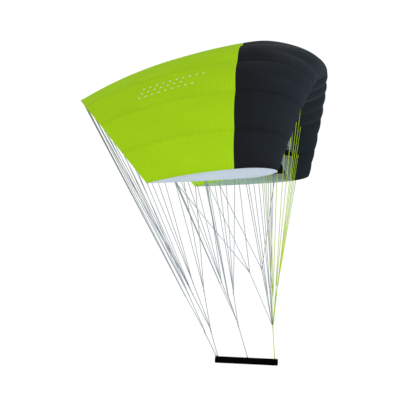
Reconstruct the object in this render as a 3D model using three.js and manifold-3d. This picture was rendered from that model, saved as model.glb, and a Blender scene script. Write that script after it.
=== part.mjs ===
// A hand-held parawing in flight: a canopy of nine cells on ten ribs, its suspension lines and
// the short bar that the flier holds. Millimetres, +X forward, +Y to the flier's left, +Z up,
// origin at the middle of the bar.

import * as THREE from 'three';
import { ConvexGeometry } from 'three/addons/geometries/ConvexGeometry.js';
import { mergeVertices } from 'three/addons/utils/BufferGeometryUtils.js';
import Module from 'manifold-3d';

// Cloth and sewing
const CLOTH = 1;                // thickness of every sheet
const GAP = 0.3;                // clearance between neighbouring pieces
const RIB_CLEAR = 0.7;          // clearance from the skin to the edge of a rib, which meets it aslant

// Section of the wing, in shares of the chord counted back from the nose
const CREST = 0.31;             // where the upper side is highest
const LIP_END = 0.145;          // rear edge of the nose panel on the underside
const NOSE_FULLNESS = 0.57;     // roundness of the upper side ahead of the crest
const REAR_FULLNESS = 2.3;      // and behind it
const LIP_DEPTH = 0.046;        // depth of the lip below the chord
const LIP_FULLNESS = 0.6;       // roundness of the lip
const BELLY_DEPTH = 0.051;      // depth of an end rib below the chord
const BELLY_AT = 0.19;          // deepest place of an end rib's underside
const BELLY_RUN = 1.6;          // how the underside rises from there to the tail
const LIP_STEPS = 3;
const NOSE_STEPS = 6;
const REAR_STEPS = 6;
const BELLY_STEPS = 9;

// Ribs from the middle of the wing to the tip. y is the distance from the middle of the wing,
// nose and tail end the chord, and lean is the outward lean of the rib in degrees. In shares of
// the chord, seam is the place of the seam between the nose panel and the rear panel, and crown
// is the greatest height above the chord. The last row is the closed rib at the tip.
const RIBS = [
  { y: 214, noseX: 508, noseZ: 1879, tailX: -1053, tailZ: 1681, lean: 8, seam: 0.327, crown: 0.138 },
  { y: 612, noseX: 472, noseZ: 1761, tailX: -962, tailZ: 1626, lean: 21, seam: 0.325, crown: 0.138 },
  { y: 950, noseX: 421, noseZ: 1597, tailX: -820, tailZ: 1504, lean: 33, seam: 0.317, crown: 0.131 },
  { y: 1186, noseX: 363, noseZ: 1394, tailX: -653, tailZ: 1327, lean: 45.5, seam: 0.314, crown: 0.129 },
  { y: 1341, noseX: 311, noseZ: 1211, tailX: -481, tailZ: 1139, lean: 53, seam: 0.325, crown: 0.076 },
];

// Swell of the cloth between ribs, in shares of the cell's width
const CELL_STEPS = 8;           // facets across a cell
const NOSE_SWELL = 0.02;        // each of the two swells on either side of a cell's middle seam
const BACK_SWELL = 0.07;        // one swell across the whole cell, behind the nose
const TAIL_SWELL = 0.01;        // what is left of it at the trailing edge
const SEAM_FADE = [0.03, 0.28]; // where the middle seam's hollow fades out along the chord
const TAIL_FADE = [0.2, 0.8];   // where the swell fades towards the trailing edge

// The front lines are tied on the lip. The other rows are tied to teeth on a rib's lower edge: at is
// the tooth's place along the chord, drop its depth below the chord and tip the place of the same
// row's line on an end rib, all in shares of the chord.
const FRONT_TIE = 0.11;
const TEETH = [
  { row: 'second', at: 0.275, drop: 0.02, tip: 0.3 },
  { row: 'third', at: 0.54, drop: 0.01, tip: 0.545 },
  { row: 'fourth', at: 0.757, drop: 0.005, tip: 0.78 },
];
const TOOTH_WIDTH = 20;
const ARCH_RISE = 0.38;         // height of the arch between teeth, in shares of the rib there
const ARCH_SHAPE = 0.7;         // squareness of the arch, below 1 for steep sides
const ARCH_STEPS = 6;
const LIP_BEHIND = 4;           // an inner rib's first arch starts this far behind the lip
const RIB_END = 0.94;           // where an inner rib stops ahead of the trailing edge
const RIB_END_DEPTH = 8;
const END_RIB_END = 0.985;      // where an end rib stops

// Braces from a rib's lower edge behind the lip to the middle seam of the next cell inwards
const BRACE_FROM = 0.148;       // front and rear ends of the sewn edge along the chord
const BRACE_TO = 0.27;
const BRACE_ACROSS = 0.496;     // place of the sewn edge across the cell, just beside its middle seam
const BRACE_STEPS = 4;
const BRACE_FOOT = 16;          // width at the rib
const BRACE_FOOT_AT = 0.163;    // place of the foot along the chord
const BRACE_HEIGHT = 0.012;     // height of the foot above an inner rib's chord, in shares of it
const BRACE_RAISE = 8;          // height of the foot above an end rib's lower edge
const BRACE_CLEAR = 0.9;        // distance from the brace's middle to the skin
const BRACE_BESIDE = 1.3;       // distance from the brace's middle to the rib's middle

// Lines and their gathers
const LINE = 2.4;               // thickness of a line
const TAPER = 6;                // length over which a line tapers to its tie
const LINE_APART = 3;           // distance between lines on a knot
const KNOT = 5;                 // thickness of the knot where lines gather
const KNOT_APART = 5;           // distance of a half's knot from the middle of the wing
const LINK_RADIUS = 10;         // link that ties the knots of both halves to a main line
const LINK_HEIGHT = 6;
const LINK_SIDES = 12;
const TAIL_TIE = 0.995;         // place of the tail lines along the chord
const TAIL_BESIDE = 0.01;       // their distance from a rib or the wing's middle, in shares of a cell
const CELL_MIDDLE = 0.5;

// Numbers of lines on the upper knots, counted outwards from the middle of the wing. The lines that
// are left go to the last knot of their row.
const FRONT_INNER = 2;
const SECOND_INNER = 2;
const TAIL_MIDDLE = 4;
const TAIL_HALF = 3;

// Gathers of the lines, with y as the distance from the middle of the wing
const GATHERS = {
  front: { x: 174, y: 0, z: 236 },
  firstInner: { x: 198, y: 60, z: 492 },
  firstOuter: { x: 183, y: 130, z: 424 },
  secondInner: { x: 155, y: 60, z: 474 },
  secondOuter: { x: 148, y: 130, z: 437 },
  tip: { x: 61, y: 450, z: 585 },
  middle: { x: -56, y: 0, z: 246 },
  third: { x: -101, y: 183, z: 430 },
  fourth: { x: -168, y: 67, z: 508 },
  tailInner: { x: -274, y: 0, z: 195 },
  tailMiddle: { x: -387, y: 100, z: 423 },
  tailOuter: { x: -234, y: 0, z: 209 },
  tailHalf: { x: -366, y: 160, z: 501 },
  tailTip: { x: -312, y: 340, z: 440 },
};
const SECOND_BEHIND = 10;       // the second lines' knots lie this far behind the front lines'

// Bar
const BAR_LENGTH = 408;
const BAR_RADIUS = 22;
const BAR_EDGE = 4;             // rounding of the bar's ends
const BAR_TILT = 2.4;           // the front end hangs lower, in degrees
const BAR_SIDES = 24;
const BAR_EDGE_STEPS = 2;
const BAR_TIES = {
  front: { x: 185, node: 'front_main', material: 'limeLine' },
  middle: { x: 8, node: 'middle_main', material: 'greyLine' },
  tailInner: { x: -196, node: 'tail_main_inner', material: 'greyLine' },
  tailOuter: { x: -186, node: 'tail_main_outer', material: 'greyLine' },
};

const wasm = await Module();
wasm.setup();

const finish = (color, roughness) => new THREE.MeshStandardMaterial({ color, roughness, metalness: 0 });
const FINISHES = {
  darkCloth: finish(0x24282c, 0.6),
  limeCloth: finish(0xa1cd1e, 0.6),
  paleCloth: finish(0xc4d2dc, 0.65),
  greyCloth: finish(0x9aa8a8, 0.65),
  greyLine: finish(0x969ea0, 0.7),
  limeLine: finish(0xafcd46, 0.7),
  grip: finish(0x0a0c0d, 0.8),
};

const wing = new THREE.Group();
const canopy = new THREE.Group();
const rigging = new THREE.Group();
wing.add(canopy, rigging);

function addPiece(group, name, geometry, material) {
  const mesh = new THREE.Mesh(geometry, material);
  mesh.name = name;
  group.add(mesh);
  return mesh;
}

// Heights of the section above the chord, in shares of the chord

function upperHeight(t, crown) {
  if (t < CREST) {
    const ahead = (CREST - t) / CREST;
    return crown * (1 - ahead * ahead) ** NOSE_FULLNESS;
  }
  const behind = (t - CREST) / (1 - CREST);
  return crown * (1 - behind ** REAR_FULLNESS);
}

function lipHeight(t) {
  const ahead = 1 - t / LIP_END;
  return -LIP_DEPTH * (1 - ahead * ahead) ** LIP_FULLNESS;
}

function bellyHeight(t) {
  return -BELLY_DEPTH * (1 - Math.abs((t - BELLY_AT) / (1 - BELLY_AT)) ** BELLY_RUN);
}

// Stations round the section, from the lip's rear edge over the nose to the trailing edge. share
// is the place within the station's own stretch: the lip, the nose panel or the rear panel.
const QUARTER = Math.PI / 2;
const STATIONS = [];
for (let i = 0; i < LIP_STEPS; i++) {
  STATIONS.push({ stretch: 'lip', share: 1 - Math.sin(QUARTER * i / LIP_STEPS) });
}
for (let i = 0; i <= NOSE_STEPS; i++) {
  STATIONS.push({ stretch: 'nose', share: 1 - Math.cos(QUARTER * i / NOSE_STEPS) });
}
for (let i = 1; i <= REAR_STEPS; i++) {
  STATIONS.push({ stretch: 'rear', share: i / REAR_STEPS });
}
const NOSE_ROW = LIP_STEPS;
const SEAM_ROW = LIP_STEPS + NOSE_STEPS;

// A rib's frame: back runs along the chord from the nose, up is the rib's own upward direction
class Rib {
  constructor(row, side) {
    Object.assign(this, row, { side, closed: row === RIBS.at(-1) });
    this.end = this.closed ? END_RIB_END : RIB_END;
    this.nose = new THREE.Vector3(row.noseX, side * row.y, row.noseZ);
    const tail = new THREE.Vector3(row.tailX, side * row.y, row.tailZ);
    this.chord = tail.distanceTo(this.nose);
    this.back = tail.sub(this.nose).divideScalar(this.chord);
    const lean = THREE.MathUtils.degToRad(row.lean) * side;
    this.up = new THREE.Vector3(0, Math.sin(lean), Math.cos(lean));
    this.places = STATIONS.map(({ stretch, share }) => {
      if (stretch === 'lip') return LIP_END * share;
      return stretch === 'nose' ? row.seam * share : THREE.MathUtils.lerp(row.seam, 1, share);
    });
    this.section = this.places.map((t, i) => {
      const height = i < NOSE_ROW ? lipHeight(t) : upperHeight(t, row.crown);
      return new THREE.Vector2(t, height).multiplyScalar(this.chord);
    });
    this.outward = this.section.map((_, i) => {
      const ahead = this.section[Math.max(i - 1, 0)];
      const behind = this.section[Math.min(i + 1, this.section.length - 1)];
      return new THREE.Vector2(ahead.y - behind.y, behind.x - ahead.x).normalize();
    });
  }

  // The point at a distance along the chord and a height above it
  at(along, height) {
    return this.nose.clone().addScaledVector(this.back, along).addScaledVector(this.up, height);
  }

  // A section station in space, and its outward direction
  station(i) {
    return this.at(this.section[i].x, this.section[i].y);
  }

  direction(i) {
    const { x, y } = this.outward[i];
    return new THREE.Vector3().addScaledVector(this.back, x).addScaledVector(this.up, y).normalize();
  }

  // Where the front line meets the lip's rear facet, just below the cloth
  frontTie() {
    const share = (LIP_END - FRONT_TIE) / (LIP_END - this.places[1]);
    return this.station(0).lerp(this.station(1), share).addScaledVector(this.up, -GAP);
  }

  // Where the line of a row meets the lower edge, just below the cloth
  tie(row) {
    const tooth = TEETH.find((entry) => entry.row === row);
    const place = this.closed ? tooth.tip : tooth.at;
    const height = this.closed ? bellyHeight(place) : -tooth.drop;
    return this.at(place * this.chord, height * this.chord - GAP);
  }
}

// All ribs across the span, from the right tip to the left tip
const ribs = [
  ...RIBS.toReversed().map((row) => new Rib(row, -1)),
  ...RIBS.map((row) => new Rib(row, 1)),
];
const MIDDLE_CELL = RIBS.length - 1;

// Name of a rib or cell counted from the middle of the wing
function sideName(base, side, number) {
  return `${base}_${side < 0 ? 'right' : 'left'}_${number}`;
}

// Swelling of a cell at a share v of its width, at a place t back from the nose
function swell(t, v) {
  const back = THREE.MathUtils.smoothstep(t, ...SEAM_FADE);
  const tail = THREE.MathUtils.smoothstep(t, ...TAIL_FADE);
  const single = THREE.MathUtils.lerp(BACK_SWELL, TAIL_SWELL, tail) * Math.sin(Math.PI * v);
  const double = NOSE_SWELL * Math.abs(Math.sin(2 * Math.PI * v));
  return THREE.MathUtils.lerp(double, single, back);
}

// A point of the skin in the cell between two ribs, sunk below its outer face
function skinPoint(from, to, stationIndex, v, sunk = 0) {
  const width = from.station(stationIndex).distanceTo(to.station(stationIndex));
  const share = THREE.MathUtils.clamp(v, 0, 1);
  const outward = from.direction(stationIndex).lerp(to.direction(stationIndex), share).normalize();
  const place = THREE.MathUtils.lerp(from.places[stationIndex], to.places[stationIndex], share);
  const height = swell(stationIndex < NOSE_ROW ? 0 : place, share) * width;
  return from.station(stationIndex).lerp(to.station(stationIndex), v).addScaledVector(outward, height - sunk);
}

// A closed sheet between two grids of points with the same rows and columns
function sheet(outer, inner) {
  const rows = outer.length;
  const columns = outer[0].length;
  const positions = [...outer.flat(), ...inner.flat()].flatMap((p) => p.toArray());
  const outerAt = (r, c) => r * columns + c;
  const innerAt = (r, c) => rows * columns + outerAt(r, c);
  const faces = [];
  const quad = (a, b, c, d) => faces.push(a, b, c, a, c, d);
  for (let r = 0; r + 1 < rows; r++) {
    for (let c = 0; c + 1 < columns; c++) {
      quad(outerAt(r, c), outerAt(r, c + 1), outerAt(r + 1, c + 1), outerAt(r + 1, c));
      quad(innerAt(r, c), innerAt(r + 1, c), innerAt(r + 1, c + 1), innerAt(r, c + 1));
    }
    const last = columns - 1;
    quad(outerAt(r, 0), outerAt(r + 1, 0), innerAt(r + 1, 0), innerAt(r, 0));
    quad(outerAt(r, last), innerAt(r, last), innerAt(r + 1, last), outerAt(r + 1, last));
  }
  for (let c = 0; c + 1 < columns; c++) {
    const last = rows - 1;
    quad(outerAt(0, c), innerAt(0, c), innerAt(0, c + 1), outerAt(0, c + 1));
    quad(outerAt(last, c), outerAt(last, c + 1), innerAt(last, c + 1), innerAt(last, c));
  }
  const geometry = new THREE.BufferGeometry();
  geometry.setAttribute('position', new THREE.Float32BufferAttribute(positions, 3));
  geometry.setIndex(faces);
  geometry.computeVertexNormals();
  return geometry;
}

// A panel of one cell over a run of stations. It stops short of its neighbours by the gap, and
// at a tip it reaches over the end rib's edge.
function panel(from, to, firstRow, lastRow) {
  const width = from.station(SEAM_ROW).distanceTo(to.station(SEAM_ROW));
  const short = GAP / 2 / width;
  const over = CLOTH / 2 / width;
  const start = from.closed ? -over : short;
  const end = to.closed ? 1 + over : 1 - short;
  const outer = [];
  const inner = [];
  for (let row = firstRow; row <= lastRow; row++) {
    const columns = Array.from({ length: CELL_STEPS + 1 }, (_, c) => {
      return THREE.MathUtils.lerp(start, end, c / CELL_STEPS);
    });
    outer.push(columns.map((v) => skinPoint(from, to, row, v)));
    inner.push(columns.map((v) => skinPoint(from, to, row, v, CLOTH)));
  }
  if (firstRow === SEAM_ROW) {
    [outer, inner].forEach((grid) => grid[0].forEach((point, c) => {
      point.lerp(grid[1][c], GAP / point.distanceTo(grid[1][c]));
    }));
  }
  return sheet(outer, inner);
}

// A rib's upper edge, under the facets of the skin, with its last point where the rib stops
function upperEdge(rib) {
  const edge = rib.section.map((point, i) => {
    return point.clone().addScaledVector(rib.outward[i], -CLOTH - RIB_CLEAR);
  });
  const last = rib.places.findIndex((t) => t > rib.end);
  const share = (rib.end - rib.places[last - 1]) / (rib.places[last] - rib.places[last - 1]);
  return [...edge.slice(0, last), edge[last - 1].clone().lerp(edge[last], share)];
}

// A rib's plate between its upper edge and the given lower edge
function ribPlate(rib, lowerEdge) {
  const shape = new THREE.Shape([...upperEdge(rib), ...lowerEdge]);
  const geometry = new THREE.ExtrudeGeometry(shape, { depth: CLOTH, bevelEnabled: false });
  const across = new THREE.Vector3().crossVectors(rib.back, rib.up).normalize();
  const frame = new THREE.Matrix4().makeBasis(rib.back, rib.up, across).setPosition(rib.nose);
  return geometry.translate(0, 0, -CLOTH / 2).applyMatrix4(frame);
}

// Lower side of the skin on a rib, in millimetres above the chord
function underSkin(rib, t) {
  return upperHeight(t, rib.crown) * rib.chord - CLOTH - RIB_CLEAR;
}

// An arch of a rib's lower edge from one corner to the next, without its first corner
function arch(rib, from, to) {
  return Array.from({ length: ARCH_STEPS }, (_, i) => {
    const share = (i + 1) / ARCH_STEPS;
    const point = from.clone().lerp(to, share);
    const room = underSkin(rib, point.x / rib.chord) - point.y;
    point.y += ARCH_RISE * room * Math.max(Math.sin(Math.PI * share), 0) ** ARCH_SHAPE;
    return point;
  });
}

// Scalloped lower edge of an inner rib, from the tail to just behind the lip
function scallopedEdge(rib) {
  const end = upperEdge(rib).at(-1);
  end.y -= RIB_END_DEPTH;
  const edge = [end];
  TEETH.toReversed().forEach((tooth) => {
    const middle = tooth.at * rib.chord;
    const low = -tooth.drop * rib.chord;
    edge.push(...arch(rib, edge.at(-1), new THREE.Vector2(middle + TOOTH_WIDTH / 2, low)));
    edge.push(new THREE.Vector2(middle - TOOTH_WIDTH / 2, low));
  });
  const lip = upperEdge(rib)[0];
  edge.push(...arch(rib, edge.at(-1), new THREE.Vector2(lip.x + LIP_BEHIND, lip.y)));
  return edge;
}

// Closed lower edge of an end rib, from the tail to just behind the lip
function bellyEdge(rib) {
  const edge = [];
  const first = LIP_END + 2 * GAP / rib.chord;
  for (let i = 0; i <= BELLY_STEPS; i++) {
    const t = THREE.MathUtils.lerp(rib.end, first, i / BELLY_STEPS);
    edge.push(new THREE.Vector2(t, bellyHeight(t)).multiplyScalar(rib.chord));
  }
  return edge;
}

// Skin, ribs and braces
for (let cell = 0; cell + 1 < ribs.length; cell++) {
  const number = Math.abs(cell - MIDDLE_CELL);
  const side = Math.sign(cell - MIDDLE_CELL);
  const label = (base) => (number ? sideName(base, side, number) : `${base}_middle`);
  const nose = panel(ribs[cell], ribs[cell + 1], 0, SEAM_ROW);
  const rear = panel(ribs[cell], ribs[cell + 1], SEAM_ROW, STATIONS.length - 1);
  addPiece(canopy, label('nose_panel'), nose, FINISHES.darkCloth);
  addPiece(canopy, label('rear_panel'), rear, FINISHES.limeCloth);
}

// A brace's sheet: the sewn edge under the middle seam of the cell, and the foot on the rib
function brace(rib, neighbour) {
  const low = bellyHeight(BRACE_FOOT_AT) * rib.chord + BRACE_RAISE;
  const height = rib.closed ? low : BRACE_HEIGHT * rib.chord;
  const inwards = new THREE.Vector3().crossVectors(rib.back, rib.up).normalize();
  inwards.multiplyScalar(-rib.side * Math.sign(inwards.y) * BRACE_BESIDE);
  const sewn = [];
  const foot = [];
  for (let i = 0; i <= BRACE_STEPS; i++) {
    const share = i / BRACE_STEPS;
    const t = THREE.MathUtils.lerp(BRACE_FROM, BRACE_TO, share);
    const row = rib.places.findIndex((place, station) => station > NOSE_ROW && place > t);
    const ahead = skinPoint(rib, neighbour, row - 1, BRACE_ACROSS, CLOTH + BRACE_CLEAR);
    const behind = skinPoint(rib, neighbour, row, BRACE_ACROSS, CLOTH + BRACE_CLEAR);
    const between = (t - rib.places[row - 1]) / (rib.places[row] - rib.places[row - 1]);
    sewn.push(ahead.lerp(behind, between));
    const along = BRACE_FOOT_AT * rib.chord + BRACE_FOOT * (share - 0.5);
    foot.push(rib.at(along, height).add(inwards));
  }
  const slope = foot[0].clone().sub(sewn[0]);
  const half = new THREE.Vector3().crossVectors(slope, rib.back).normalize().multiplyScalar(CLOTH / 2);
  const grid = [sewn, foot];
  const above = grid.map((row) => row.map((p) => p.clone().add(half)));
  const below = grid.map((row) => row.map((p) => p.clone().sub(half)));
  return sheet(below, above);
}

ribs.forEach((rib, i) => {
  const number = rib.side < 0 ? RIBS.length - i : i - RIBS.length + 1;
  const name = rib.closed ? `end_rib_${rib.side < 0 ? 'right' : 'left'}` : sideName('rib', rib.side, number);
  const edge = rib.closed ? bellyEdge(rib) : scallopedEdge(rib);
  addPiece(canopy, name, ribPlate(rib, edge), rib.closed ? FINISHES.paleCloth : FINISHES.greyCloth);
  const neighbour = ribs[i - rib.side];
  addPiece(canopy, sideName('brace', rib.side, number), brace(rib, neighbour), FINISHES.greyCloth);
});

// Lines: straight cords that taper to their ties, joined to one solid at their knots

function toSolid(geometry) {
  geometry.deleteAttribute('normal');
  geometry.deleteAttribute('uv');
  const merged = mergeVertices(geometry);
  const vertProperties = new Float32Array(merged.attributes.position.array);
  const triVerts = new Uint32Array(merged.index.array);
  return new wasm.Manifold(new wasm.Mesh({ numProp: 3, vertProperties, triVerts }));
}

function fromSolid(solid) {
  const { vertProperties, triVerts } = solid.getMesh();
  const geometry = new THREE.BufferGeometry();
  geometry.setAttribute('position', new THREE.BufferAttribute(vertProperties, 3));
  geometry.setIndex(new THREE.BufferAttribute(triVerts, 1));
  geometry.computeVertexNormals();
  return geometry;
}

// A straight cord of square section. Its upper end tapers to a point where it is tied to cloth.
function cord(top, foot, tapered) {
  const direction = foot.clone().sub(top).normalize();
  const turn = new THREE.Quaternion().setFromUnitVectors(new THREE.Vector3(0, 0, 1), direction);
  const corners = [[-1, -1], [1, -1], [1, 1], [-1, 1]].map(([a, b]) => {
    return new THREE.Vector3(a, b, 0).multiplyScalar(LINE / 2).applyQuaternion(turn);
  });
  const shoulder = top.clone().addScaledVector(direction, tapered ? TAPER : 0);
  const points = [shoulder, foot].flatMap((end) => corners.map((corner) => corner.clone().add(end)));
  return toSolid(new ConvexGeometry(tapered ? [top, ...points] : points));
}

// Lines gathered side by side on one knot, which lies across the wing, the inmost line first
function fan(tops, knot, tapered) {
  const outwards = Math.sign(knot.y);
  const span = (tops.length - 1) * LINE_APART;
  const block = new THREE.BoxGeometry(KNOT, span + KNOT, KNOT);
  block.translate(knot.x, knot.y + outwards * span / 2, knot.z);
  return tops.reduce((solid, top, i) => {
    const foot = knot.clone().setY(knot.y + outwards * i * LINE_APART);
    return solid.add(cord(top, foot, tapered));
  }, toSolid(block));
}

// A gather's place on one half of the wing, just clear of the other half's
function gather(name, side, behind = 0) {
  const { x, y, z } = GATHERS[name];
  return new THREE.Vector3(x - behind, side * Math.max(y, KNOT_APART), z);
}

// Lines tied to cloth in groups, each group to its own upper knot, with one line from each upper
// knot to the lower one
function cascade(knot, side, groups) {
  const upper = Object.keys(groups).map((name) => gather(name, side));
  return Object.values(groups).reduce(
    (solid, ties, i) => solid.add(fan(ties, upper[i], true)),
    fan(upper, knot, false),
  );
}

// A point on the trailing edge, at a share of the cell outwards from a rib
function tailTie(rib, next, v) {
  const last = STATIONS.length - 1;
  const edge = skinPoint(rib, next, last, v, CLOTH + GAP);
  const ahead = skinPoint(rib, next, last - 1, v, CLOTH + GAP);
  const share = (1 - TAIL_TIE) / (1 - rib.places[last - 1]);
  return edge.lerp(ahead, share);
}

[-1, 1].forEach((side) => {
  const half = ribs.filter((rib) => rib.side === side).sort((a, b) => a.y - b.y);
  const inner = half.slice(0, -1);
  const tip = half.at(-1);
  const ties = (list, row) => list.map((rib) => rib.tie(row));
  const label = (base) => `${base}_${side < 0 ? 'right' : 'left'}`;

  const first = half.map((rib) => rib.frontTie());
  const front = cascade(gather('front', side), side, {
    firstInner: first.slice(0, FRONT_INNER),
    firstOuter: first.slice(FRONT_INNER),
  });
  addPiece(rigging, label('front_lines'), fromSolid(front), FINISHES.limeLine);

  const second = cascade(gather('front', side, SECOND_BEHIND), side, {
    secondInner: ties(inner.slice(0, SECOND_INNER), 'second'),
    secondOuter: ties(inner.slice(SECOND_INNER), 'second'),
    tip: TEETH.map(({ row }) => tip.tie(row)),
  });
  addPiece(rigging, label('second_lines'), fromSolid(second), FINISHES.greyLine);

  const middle = cascade(gather('middle', side), side, {
    fourth: ties(inner, 'fourth'),
    third: ties(inner, 'third'),
  });
  addPiece(rigging, label('middle_lines'), fromSolid(middle), FINISHES.greyLine);

  const across = ribs.find((rib) => rib.side === -side && rib.y === inner[0].y);
  const tail = [
    tailTie(inner[0], across, CELL_MIDDLE - TAIL_BESIDE),
    ...inner.flatMap((rib, i) => [TAIL_BESIDE, CELL_MIDDLE].map((v) => tailTie(rib, half[i + 1], v))),
    tailTie(inner.at(-1), tip, 1 - TAIL_BESIDE),
  ];
  const outer = tail.splice(TAIL_MIDDLE);
  const tailInner = cascade(gather('tailInner', side), side, { tailMiddle: tail });
  addPiece(rigging, label('tail_lines_inner'), fromSolid(tailInner), FINISHES.greyLine);
  const tailOuter = cascade(gather('tailOuter', side), side, {
    tailHalf: outer.slice(0, TAIL_HALF),
    tailTip: outer.slice(TAIL_HALF),
  });
  addPiece(rigging, label('tail_lines_outer'), fromSolid(tailOuter), FINISHES.greyLine);
});

// Bar, a turned grip with rounded ends
const tilt = THREE.MathUtils.degToRad(BAR_TILT);
const barEnd = BAR_LENGTH / 2;
const barProfile = [new THREE.Vector2(0, -barEnd)];
[-1, 1].forEach((end) => {
  for (let i = 0; i <= BAR_EDGE_STEPS; i++) {
    const turn = QUARTER * (end < 0 ? i : BAR_EDGE_STEPS - i) / BAR_EDGE_STEPS;
    const radius = BAR_RADIUS - BAR_EDGE * (1 - Math.sin(turn));
    barProfile.push(new THREE.Vector2(radius, end * (barEnd - BAR_EDGE * (1 - Math.cos(turn)))));
  }
});
barProfile.push(new THREE.Vector2(0, barEnd));
const bar = addPiece(rigging, 'bar', new THREE.LatheGeometry(barProfile, BAR_SIDES), FINISHES.grip);
bar.rotation.set(0, tilt, -QUARTER);

// Main lines from a link under each gather to the top of the bar
Object.entries(BAR_TIES).forEach(([name, { x, node, material }]) => {
  const { x: gatherX, z: gatherZ } = GATHERS[name];
  const shift = name === 'front' ? SECOND_BEHIND / 2 : 0;
  const link = new THREE.Vector3(gatherX - shift, 0, gatherZ - KNOT / 2 - GAP - LINK_HEIGHT / 2);
  const barTop = -x * Math.tan(tilt) + BAR_RADIUS / Math.cos(tilt);
  const tie = new THREE.Vector3(x, 0, barTop + GAP);
  const disc = new THREE.CylinderGeometry(LINK_RADIUS, LINK_RADIUS, LINK_HEIGHT, LINK_SIDES);
  const main = toSolid(disc.rotateX(QUARTER).translate(link.x, link.y, link.z)).add(cord(tie, link, true));
  addPiece(rigging, node, fromSolid(main), FINISHES[material]);
});

export default wing;
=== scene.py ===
import math
from collections import Counter
import bpy
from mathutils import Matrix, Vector


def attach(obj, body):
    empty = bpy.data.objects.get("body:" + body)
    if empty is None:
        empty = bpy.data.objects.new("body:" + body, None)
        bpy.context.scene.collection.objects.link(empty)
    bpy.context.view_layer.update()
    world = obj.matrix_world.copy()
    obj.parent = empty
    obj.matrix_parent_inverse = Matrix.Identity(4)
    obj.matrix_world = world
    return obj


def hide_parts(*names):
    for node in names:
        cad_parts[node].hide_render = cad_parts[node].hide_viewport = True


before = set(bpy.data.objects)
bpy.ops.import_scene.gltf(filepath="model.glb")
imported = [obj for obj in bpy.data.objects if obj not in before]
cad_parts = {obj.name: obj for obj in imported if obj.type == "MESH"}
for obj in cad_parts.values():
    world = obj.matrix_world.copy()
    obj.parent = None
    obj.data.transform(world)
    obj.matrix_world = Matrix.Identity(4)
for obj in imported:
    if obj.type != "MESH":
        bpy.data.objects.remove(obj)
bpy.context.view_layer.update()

# Inner ribs: flat plates of thin grey ripstop that give the canopy its section in flight. Each is
# cut with arches along its lower edge, hemmed there, and sewn to the skin along its upper edge.
# The teeth left between the arches take the lines.

# Ribs from the middle of the wing to the tip, in metres: distance from the middle, both ends of
# the chord as (x, z), outward lean in degrees, and in shares of the chord the place of the colour
# seam and the height of the crown
RIBS = [
    dict(y=0.214, nose=(0.508, 1.879), tail=(-1.053, 1.681), lean=8, seam=0.327, crown=0.138),
    dict(y=0.612, nose=(0.472, 1.761), tail=(-0.962, 1.626), lean=21, seam=0.325, crown=0.138),
    dict(y=0.950, nose=(0.421, 1.597), tail=(-0.820, 1.504), lean=33, seam=0.317, crown=0.131),
    dict(y=1.186, nose=(0.363, 1.394), tail=(-0.653, 1.327), lean=45.5, seam=0.314, crown=0.129),
    dict(y=1.341, nose=(0.311, 1.211), tail=(-0.481, 1.139), lean=53, seam=0.325, crown=0.076),
]
CREST = 0.31  # highest place of the section, in shares of the chord
NOSE_FULLNESS = 0.57  # the smaller, the blunter the nose
REAR_FULLNESS = 2.3  # the larger, the later the skin comes down behind the crest
LIP_END = 0.145  # where the nose cloth ends on the underside
LIP_DEPTH = 0.046  # its depth below the chord there
LIP_FULLNESS = 0.6


class Rib:
    """A rib in flight. q runs round its section: -1 at the lip's rear edge, 0 at the nose, 1 at the
    colour seam and 2 at the trailing edge."""

    def __init__(self, row, side, number):
        self.number, self.y = number, row["y"]
        self.seam, self.crown = row["seam"], row["crown"]
        self.nose = Vector((row["nose"][0], side * row["y"], row["nose"][1]))
        tail = Vector((row["tail"][0], side * row["y"], row["tail"][1]))
        self.chord = (tail - self.nose).length
        self.back = (tail - self.nose) / self.chord
        lean = math.radians(row["lean"]) * side
        self.up = Vector((0, math.sin(lean), math.cos(lean)))

    def at(self, along, height):
        return self.nose + self.back * along + self.up * height

    def place(self, q):
        """Share of the chord at q"""
        if q > 1:
            return self.seam + (1 - self.seam) * (q - 1)
        return (self.seam if q > 0 else LIP_END) * (1 - math.cos(math.pi / 2 * q))

    def upper(self, t):
        """Height of the skin above the chord at a share t of the chord"""
        if t < CREST:
            return self.chord * self.crown * (1 - (1 - t / CREST) ** 2) ** NOSE_FULLNESS
        return self.chord * self.crown * (1 - ((t - CREST) / (1 - CREST)) ** REAR_FULLNESS)

    def lip(self, t):
        return -self.chord * LIP_DEPTH * (1 - (1 - t / LIP_END) ** 2) ** LIP_FULLNESS

    def section(self, q):
        t = self.place(q)
        return Vector((t * self.chord, self.lip(t) if q < 0 else self.upper(t)))

    def edge(self, q):
        return self.at(*self.section(q))

    def outward(self, q, step=0.002):
        run = self.section(min(q + step, 2)) - self.section(max(q - step, -1))
        return (self.up * run.x - self.back * run.y).normalized()


HALVES = {side: [Rib(row, side, i + 1) for i, row in enumerate(RIBS)] for side in (-1, 1)}
SIDE_NAMES = {-1: "right", 1: "left"}
CLOTH = 0.0005  # thickness of every sheet


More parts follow.
